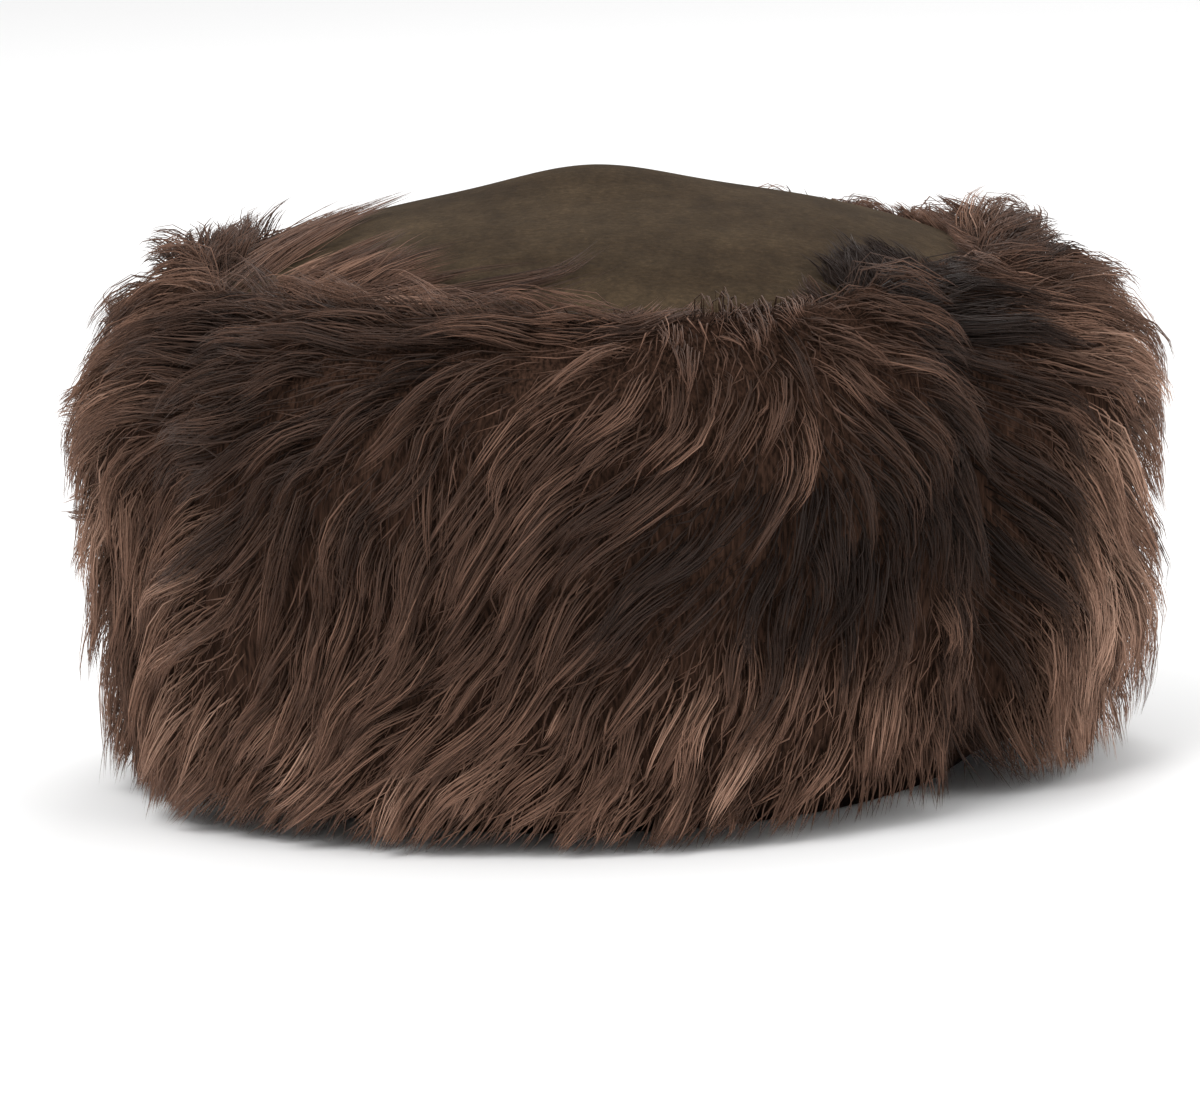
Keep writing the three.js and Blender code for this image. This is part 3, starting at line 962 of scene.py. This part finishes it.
def pelt(panel):
    """The dense wool of one panel on its hide: a closed body that the locks grow from."""
    turn = panel_turns(panel, PELT_STEP)
    place = np.linspace(0.0, 1.0, PELT_ROWS)[None]
    outside = fur_point(turn, place, inset_at(turn, place))
    hem_radius = np.hypot(outside[:, -1:, 0], outside[:, -1:, 1])
    hem_height = outside[:, -1:, 2]
    inner = head_radius(turn) + HIDE_THICKNESS
    under = polar(
        turn,
        inner + (hem_radius - inner) * column(PELT_UNDERSIDE, "out"),
        PELT_LOWEST + (hem_height - PELT_LOWEST) * column(PELT_UNDERSIDE, "up"),
    )
    heights = np.array([PELT_WALL_HEIGHTS], float)
    wall = polar(turn, wall_radius(turn, heights) + HIDE_THICKNESS, heights)
    loops = np.concatenate([outside, under, wall], 1)
    mesh = mesh_through_loops(panel["name"] + "_pelt", loops, smooth=True)
    add_piece(mesh, shaded_underfur, panel["node"])


def hide(panel):
    """The hide of one panel, flesh side in: a thin closed wall round the head hollow."""
    turn = panel_turns(panel, HIDE_STEP)
    rim = polar(turn, WALL_FLARE * head_radius(turn), 0.0)
    top = crown_height(rim[..., 0], rim[..., 1]) - HIDE_UNDER_CROWN
    heights = np.concatenate([np.tile(HIDE_HEIGHTS, (len(turn), 1)), top], 1)
    inner = polar(turn, wall_radius(turn, heights), heights)
    heights = heights[:, ::-1]
    radius = wall_radius(turn, heights) + HIDE_THICKNESS - HIDE_UNDER_PELT
    outer = polar(turn, radius, heights)
    loops = np.concatenate([inner, outer], 1)
    mesh = mesh_through_loops(panel["name"] + "_hide", loops, smooth=False)
    add_piece(mesh, flesh_side, panel["node"])


# The wool's tone at a root: the base, the patches' own tone with their painted light and shade, the tufts'
# tone and the partings' painted shade
def tone_at(turn, place):
    tone = BASE_TONE + patched(TONE_AND_SHADE_PATCHES, "tone", turn, place)
    return tone + tufted("tone", turn, place) + parted("tone", turn, place)


def scattered_roots(rows, columns):
    """Rows of roots round the hat, every other one set on by half a step, and each root a
    little out of line. Returns each root's row and turn."""
    row, at = np.meshgrid(np.arange(rows), np.arange(columns), indexing="ij")
    row, at = row.ravel(), at.ravel()
    jitter = rng.uniform(-ROOT_JITTER, ROOT_JITTER, len(row))
    return row, (at + 0.5 * (row % 2) + jitter) * 360 / columns - 180


def body_locks():
    """Roots and looks of the locks from the crest down to the hem."""
    row, turn = scattered_roots(LOCK_ROWS, LOCKS_ROUND)
    count = len(row)
    jitter = rng.uniform(-ROOT_JITTER, ROOT_JITTER, count)
    place = BODY_LOCKS["first"] + BODY_LOCKS["span"] * (row + jitter) / (LOCK_ROWS - 1)
    place = np.clip(place, 0.01, 0.98)
    length = rng.normal(BODY_LOCKS["length"], BODY_LOCKS["length_spread"], count)
    length = length * (0.8 + 0.2 * ease(place, 0, 0.25))
    lift = rng.uniform(*BODY_LOCKS["lift"], count)
    lift = lift + (1 - PELT_TUFTS) * tufted("lift", turn, place)
    lift = lift + LIFT_OF_STRANDS * patched(LIFT_PATCHES, "lift", turn, place)
    return dict(
        turn=turn,
        place=place,
        length=length,
        lift=np.maximum(lift, LOWEST_LIFT),
        heading=0.0,
        combed=1.0,
        depth=rng.uniform(*BODY_LOCKS["depth"], count),
        tone=tone_at(turn, place),
    )


def rim_locks():
    """Locks from the crown's edge inwards over the suede, as far as the fur reaches there."""
    row, turn = scattered_roots(RIM_LOCK_ROWS, RIM_LOCKS_ROUND)
    count = len(row)
    place = RIM_LOCKS["first"] + RIM_LOCKS["row"] * row + rng.uniform(-0.02, 0.02, count)
    over = np.maximum(at_turn(FUR_ROUND, "over", turn) + at_turn(RIM_LIE, "more", turn), 2)
    slant = np.radians(at_turn(RIM_LIE, "slant", turn))
    inwards = over * rng.uniform(*RIM_LOCKS["reach"], count) + place * SECTION_LENGTH
    return dict(
        turn=turn,
        place=place,
        length=inwards / np.maximum(np.cos(slant), 0.45),
        lift=at_turn(RIM_LIE, "lift", turn) * rng.uniform(*RIM_LOCKS["lift"], count),
        heading=math.pi - slant,
        combed=0.0,
        depth=rng.uniform(*RIM_LOCKS["depth"], count),
        # The rim locks take none of the partings' painted shade
        tone=tone_at(turn, place) - parted("tone", turn, place),
    )


def standing_locks():
    """The locks of the extra tufts, scattered round the middle of each."""
    rows = [row for row in STANDING_TUFTS for _ in range(row["count"])]
    count = len(rows)

    def each(name):
        return np.array([row[name] for row in rows], float)

    turn = each("turn") + each("half") * rng.uniform(-1, 1, count)
    place = np.clip(each("place") + each("along") * rng.uniform(-1, 1, count), 0.005, 0.98)
    return dict(
        turn=turn,
        place=place,
        length=each("length") * rng.uniform(*STANDING_LOCKS["reach"], count),
        lift=each("lift") * rng.uniform(*STANDING_LOCKS["lift"], count),
        heading=np.radians(each("heading") + rng.normal(0, STANDING_LOCKS["heading_spread"], count)),
        combed=0.0,
        depth=rng.uniform(*STANDING_LOCKS["depth"], count),
        tone=tone_at(turn, place) + each("tone"),
    )


def fur():
    """All locks, shared out among pieces by where their roots are."""
    parts, roots = [], []
    for locks in (body_locks(), rim_locks(), standing_locks()):
        count = len(locks["turn"])
        sway = np.radians(rng.normal(0, LOCK_SWAY, count))
        wave = np.radians(rng.uniform(*LOCK_WAVE, count))
        guides, above = lock_guides(locks, sway, wave)
        tone = locks["tone"] + rng.normal(0, LOCK_TONE_SPREAD, count)
        # Painted light on locks that stand further out, painted shade on those that lie lower
        tone = tone + PAINTED_LIGHT_PER_LIFT * (locks["lift"] - MIDDLE_LIFT)
        spread = rng.uniform(*LOCK_SPREAD, count)
        parts.append(strands_along(guides, above, locks["lift"], spread, locks["depth"], tone))
        roots.append(np.repeat([locks["turn"], locks["place"]], STRANDS_PER_LOCK, axis=1))
    strands = [np.concatenate(values) for values in zip(*parts)]
    turn, place = np.concatenate(roots, 1)
    upper = place < UPPER_WOOL_END
    for row in WOOL_PIECES:
        inside = within(turn, row)
        for level, chosen in (("upper", inside & upper), ("lower", inside & ~upper)):
            own = [values[chosen] for values in strands]
            strand_piece(f"{row['name']}_wool_{level}", row["node"], STRAND_SHAPE, *own)


def underwool():
    """Short loose strands all over the pelt, which fill the gaps between the locks. A share of
    them grows at the hem and hangs below the locks there."""
    count = UNDERWOOL_STRANDS
    turn, place = rng.uniform(-180, 180, count), rng.uniform(0.02, 0.98, count)
    at_hem = rng.uniform(0, 1, count) < UNDERWOOL_AT_HEM
    place = np.where(at_hem, rng.uniform(*UNDERWOOL_HEM, count), place)
    lift = rng.uniform(*UNDERWOOL_LIFT, count)
    sway = np.radians(rng.normal(0, UNDERWOOL_SWAY, count))
    length = rng.uniform(*UNDERWOOL_LENGTH, count)
    locks = dict(turn=turn, place=place, length=length, lift=lift, heading=0.0, combed=1.0)
    guides, above = lock_guides(locks, sway, wave=0.0, raised=UNDERWOOL_RAISED)
    reach = np.minimum(1, above * 0.9)[:, None]
    along = np.linspace(0, 1, len(UNDERWOOL_SHAPE) + 1)[None] * reach
    at = np.round(along / GUIDE_REACH * (GUIDE_STEPS - 1)).astype(int)
    each = np.arange(count)[:, None]
    height = (lift[:, None] + ROOT_DEPTH) * risen(along) - ROOT_DEPTH
    normal = unit(guides["normal"][each, at])
    point = guides["point"][each, at] + normal * height[..., None]
    width = UNDERWOOL_HALF_WIDTH * rng.lognormal(0, UNDERWOOL_WIDTH_SPREAD, count)
    tone = tone_at(turn, place) + UNDERWOOL_PAINTED_SHADE + rng.normal(0, UNDERWOOL_TONE_SPREAD, count)
    for panel in PANELS:
        own = [values[within(turn, panel)] for values in (point, normal, width, tone)]
        strand_piece(f"{panel['name']}_underwool", panel["node"], UNDERWOOL_SHAPE, *own)


crown()
for panel in PANELS:
    pelt(panel)
    hide(panel)
fur()
underwool()


# Stage, light and camera

# The photo's size and the origin's place in it, in its pixels, and a pixel's width at the origin
# in millimetres. The camera's angles are in degrees

PHOTO_WIDTH, PHOTO_HEIGHT = 1200, 1107
PHOTO_MM = 0.265
PHOTO_ORIGIN = (612, 765)
CAMERA_ELEVATION = 9.0
CAMERA_ROLL = -2.0
CAMERA_DISTANCE = 2.6
CAMERA_SENSOR = 36
CAMERA_CLIP = (0.1, 20)
FLOOR_RADIUS = 9.0
FLOOR_SIDES = 64
SKY_STRENGTH = 0.85
LIGHTS = [
    dict(name="key", place=(-0.7, -1.3, 1.6), aim=0.08, size=1.2, power=26),
    dict(name="fill", place=(1.2, -1.2, 0.9), aim=0.08, size=1.2, power=10),
    dict(name="back", place=(0.3, 1.1, 1.5), aim=0.1, size=1.0, power=12),
]


def stage():
    """A large round white floor."""
    material, _, _ = new_material("floor", {
        "Base Color": (0.9, 0.9, 0.9, 1),
        "Roughness": 0.9,
        "Specular IOR Level": 0.1,
    })
    angles = [2 * math.pi * i / FLOOR_SIDES for i in range(FLOOR_SIDES)]
    points = [(FLOOR_RADIUS * math.cos(a), FLOOR_RADIUS * math.sin(a), 0.0) for a in angles]
    mesh = bpy.data.meshes.new("floor")
    mesh.from_pydata(points, [], [list(range(FLOOR_SIDES))])
    mesh.materials.append(material)
    floor = bpy.data.objects.new("floor", mesh)
    bpy.context.scene.collection.objects.link(floor)


def area_light(name, place, aim, size, power):
    """A round light that faces the hat's axis at the height of its aim."""
    light = bpy.data.lights.new(name, "AREA")
    light.shape = "DISK"
    light.size = size
    light.energy = power
    lamp = bpy.data.objects.new(name, light)
    lamp.location = place
    ahead = Vector((0, 0, aim)) - Vector(place)
    lamp.rotation_euler = ahead.to_track_quat("-Z", "Y").to_euler()
    bpy.context.scene.collection.objects.link(lamp)


def lighting():
    """An even white sky and three soft lights."""
    world = bpy.data.worlds.new("studio")
    world.use_nodes = True
    sky = world.node_tree.nodes["Background"]
    sky.inputs["Color"].default_value = (1, 1, 1, 1)
    sky.inputs["Strength"].default_value = SKY_STRENGTH
    bpy.context.scene.world = world
    for row in LIGHTS:
        area_light(**row)
    bpy.context.scene.view_settings.view_transform = "Standard"


def camera():
    """The photo's camera: a little above the hat, tilted, and aimed so that the hat lies where
    it does in the photo."""
    data = bpy.data.cameras.new("camera")
    elevation, roll = math.radians(CAMERA_ELEVATION), math.radians(CAMERA_ROLL)
    back = Vector((0, -math.cos(elevation), math.sin(elevation)))
    turn = Matrix.Rotation(roll, 4, back) @ back.to_track_quat("Z", "Y").to_matrix().to_4x4()
    right, up = turn.col[0].to_3d(), turn.col[1].to_3d()
    mm = PHOTO_MM * MM
    aim = right * (PHOTO_WIDTH / 2 - PHOTO_ORIGIN[0]) * mm
    aim = aim + up * (PHOTO_ORIGIN[1] - PHOTO_HEIGHT / 2) * mm
    data.sensor_width = CAMERA_SENSOR
    data.lens = CAMERA_SENSOR * CAMERA_DISTANCE / (PHOTO_WIDTH * mm)
    data.clip_start, data.clip_end = CAMERA_CLIP
    piece = bpy.data.objects.new("camera", data)
    piece.matrix_world = Matrix.Translation(aim + back * CAMERA_DISTANCE) @ turn
    bpy.context.scene.collection.objects.link(piece)
    bpy.context.scene.camera = piece


stage()
lighting()
camera()
